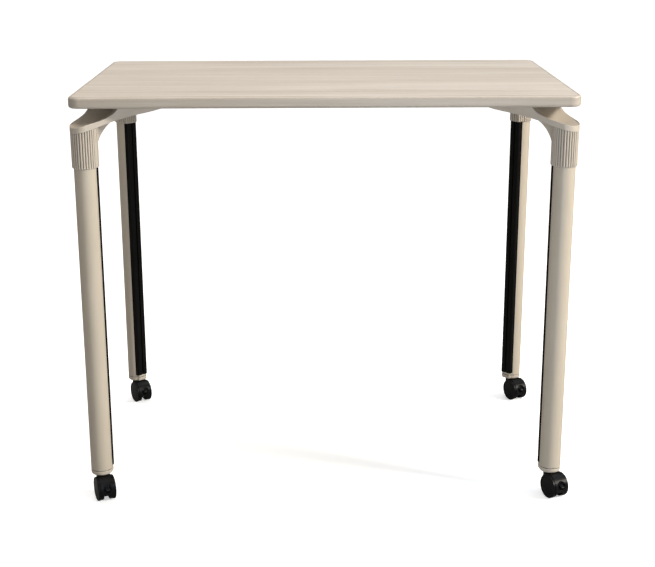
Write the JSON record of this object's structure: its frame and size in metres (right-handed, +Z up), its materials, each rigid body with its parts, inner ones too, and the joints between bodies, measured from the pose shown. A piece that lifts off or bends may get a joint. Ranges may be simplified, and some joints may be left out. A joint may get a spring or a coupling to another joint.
{
  "type": "mobile ward table",
  "caption": "Fixed-height rectangular ward table with a wood-grain top on profiled corner legs with cast brackets and braked swivel castors.",
  "frame": {"origin": "on the floor, under the centre of the table top", "axes": "+X to the right along the long side, +Y to the rear, +Z up; the front long edge faces -Y"},
  "size_m": [0.911, 0.577, 0.765],
  "materials": {
    "chipboard": "pressed chips, cut faces hidden",
    "wood_laminate": "pale wood-grain laminate, satin",
    "backing": "plain balancing sheet, matt",
    "edge_band": "plain taupe edge, satin",
    "zinc_steel": "zinc plated",
    "insert_steel": "plain plated steel",
    "cast_bracket": "beige powder coat on a die casting",
    "leg_finish": "beige powder coat, satin",
    "black_strip": "black extruded cover strip, satin",
    "foot_cap": "beige powder coat, satin",
    "pin_steel": "turned steel",
    "black_nylon": "fine-grained black nylon",
    "wheel_black": "black nylon, slight sheen",
    "brake_black": "black nylon, satin"
  },
  "bodies": {
    "table": {"top_core": "chipboard", "top_laminate": "wood_laminate", "backing_sheet": "backing", "edge_band": "edge_band", "bracket_screws": "zinc_steel", "insert_nuts": "insert_steel", "corner_bracket_fl": "cast_bracket", "leg_tube_fl": "leg_finish", "leg_strip_fl": "black_strip", "foot_plug_fl": "foot_cap", "caster_stem_fl": "pin_steel", "corner_bracket_fr": "cast_bracket", "leg_tube_fr": "leg_finish", "leg_strip_fr": "black_strip", "foot_plug_fr": "foot_cap", "caster_stem_fr": "pin_steel", "corner_bracket_rl": "cast_bracket", "leg_tube_rl": "leg_finish", "leg_strip_rl": "black_strip", "foot_plug_rl": "foot_cap", "caster_stem_rl": "pin_steel", "corner_bracket_rr": "cast_bracket", "leg_tube_rr": "leg_finish", "leg_strip_rr": "black_strip", "foot_plug_rr": "foot_cap", "caster_stem_rr": "pin_steel"},
    "caster_fl": {"caster_hood_fl": "black_nylon", "caster_axle_fl": "pin_steel", "brake_pivot_fl": "pin_steel"},
    "wheel_fl_l": {"caster_wheel_fl_l": "wheel_black"},
    "wheel_fl_r": {"caster_wheel_fl_r": "wheel_black"},
    "brake_fl": {"brake_lever_fl": "brake_black"},
    "caster_fr": {"caster_hood_fr": "black_nylon", "caster_axle_fr": "pin_steel", "brake_pivot_fr": "pin_steel"},
    "wheel_fr_l": {"caster_wheel_fr_l": "wheel_black"},
    "wheel_fr_r": {"caster_wheel_fr_r": "wheel_black"},
    "brake_fr": {"brake_lever_fr": "brake_black"},
    "caster_rl": {"caster_hood_rl": "black_nylon", "caster_axle_rl": "pin_steel", "brake_pivot_rl": "pin_steel"},
    "wheel_rl_l": {"caster_wheel_rl_l": "wheel_black"},
    "wheel_rl_r": {"caster_wheel_rl_r": "wheel_black"},
    "brake_rl": {"brake_lever_rl": "brake_black"},
    "caster_rr": {"caster_hood_rr": "black_nylon", "caster_axle_rr": "pin_steel", "brake_pivot_rr": "pin_steel"},
    "wheel_rr_l": {"caster_wheel_rr_l": "wheel_black"},
    "wheel_rr_r": {"caster_wheel_rr_r": "wheel_black"},
    "brake_rr": {"brake_lever_rr": "brake_black"}
  },
  "joints": [
    {"name": "swivel_fl", "type": "hinge", "parent": "table", "child": "caster_fl", "pos_m": [-0.4273, -0.2548, 0.045], "axis": [0, 0, 1], "continuous": true},
    {"name": "roll_fl_l", "type": "hinge", "parent": "caster_fl", "child": "wheel_fl_l", "pos_m": [-0.43168, -0.27598, 0.023], "axis": [0.9272, 0.3746, 0], "continuous": true},
    {"name": "roll_fl_r", "type": "hinge", "parent": "caster_fl", "child": "wheel_fl_r", "pos_m": [-0.40943, -0.26699, 0.023], "axis": [0.9272, 0.3746, 0], "continuous": true},
    {"name": "brake_fl", "type": "hinge", "parent": "caster_fl", "child": "brake_fl", "pos_m": [-0.4151, -0.285, 0.03075], "axis": [0.9272, 0.3746, 0], "range_deg": [0, 14]},
    {"name": "swivel_fr", "type": "hinge", "parent": "table", "child": "caster_fr", "pos_m": [0.4273, -0.2548, 0.045], "axis": [0, 0, 1], "continuous": true},
    {"name": "roll_fr_l", "type": "hinge", "parent": "caster_fr", "child": "wheel_fr_l", "pos_m": [0.42403, -0.27619, 0.023], "axis": [0.9063, 0.4226, 0], "continuous": true},
    {"name": "roll_fr_r", "type": "hinge", "parent": "caster_fr", "child": "wheel_fr_r", "pos_m": [0.44578, -0.26604, 0.023], "axis": [0.9063, 0.4226, 0], "continuous": true},
    {"name": "brake_fr", "type": "hinge", "parent": "caster_fr", "child": "brake_fr", "pos_m": [0.44106, -0.28432, 0.03075], "axis": [0.9063, 0.4226, 0], "range_deg": [0, 14]},
    {"name": "swivel_rl", "type": "hinge", "parent": "table", "child": "caster_rl", "pos_m": [-0.4273, 0.2548, 0.045], "axis": [0, 0, 1], "continuous": true},
    {"name": "roll_rl_l", "type": "hinge", "parent": "caster_rl", "child": "wheel_rl_l", "pos_m": [-0.42869, 0.23321, 0.023], "axis": [0.866, 0.5, 0], "continuous": true},
    {"name": "roll_rl_r", "type": "hinge", "parent": "caster_rl", "child": "wheel_rl_r", "pos_m": [-0.40791, 0.24521, 0.023], "axis": [0.866, 0.5, 0], "continuous": true},
    {"name": "brake_rl", "type": "hinge", "parent": "caster_rl", "child": "brake_rl", "pos_m": [-0.41102, 0.22659, 0.03075], "axis": [0.866, 0.5, 0], "range_deg": [0, 14]},
    {"name": "swivel_rr", "type": "hinge", "parent": "table", "child": "caster_rr", "pos_m": [0.4273, 0.2548, 0.045], "axis": [0, 0, 1], "continuous": true},
    {"name": "roll_rr_l", "type": "hinge", "parent": "caster_rr", "child": "wheel_rr_l", "pos_m": [0.42478, 0.23331, 0.023], "axis": [0.891, 0.454, 0], "continuous": true},
    {"name": "roll_rr_r", "type": "hinge", "parent": "caster_rr", "child": "wheel_rr_r", "pos_m": [0.44616, 0.24421, 0.023], "axis": [0.891, 0.454, 0], "continuous": true},
    {"name": "brake_rr", "type": "hinge", "parent": "caster_rr", "child": "brake_rr", "pos_m": [0.44209, 0.22578, 0.03075], "axis": [0.891, 0.454, 0], "range_deg": [0, 14]}
  ]
}
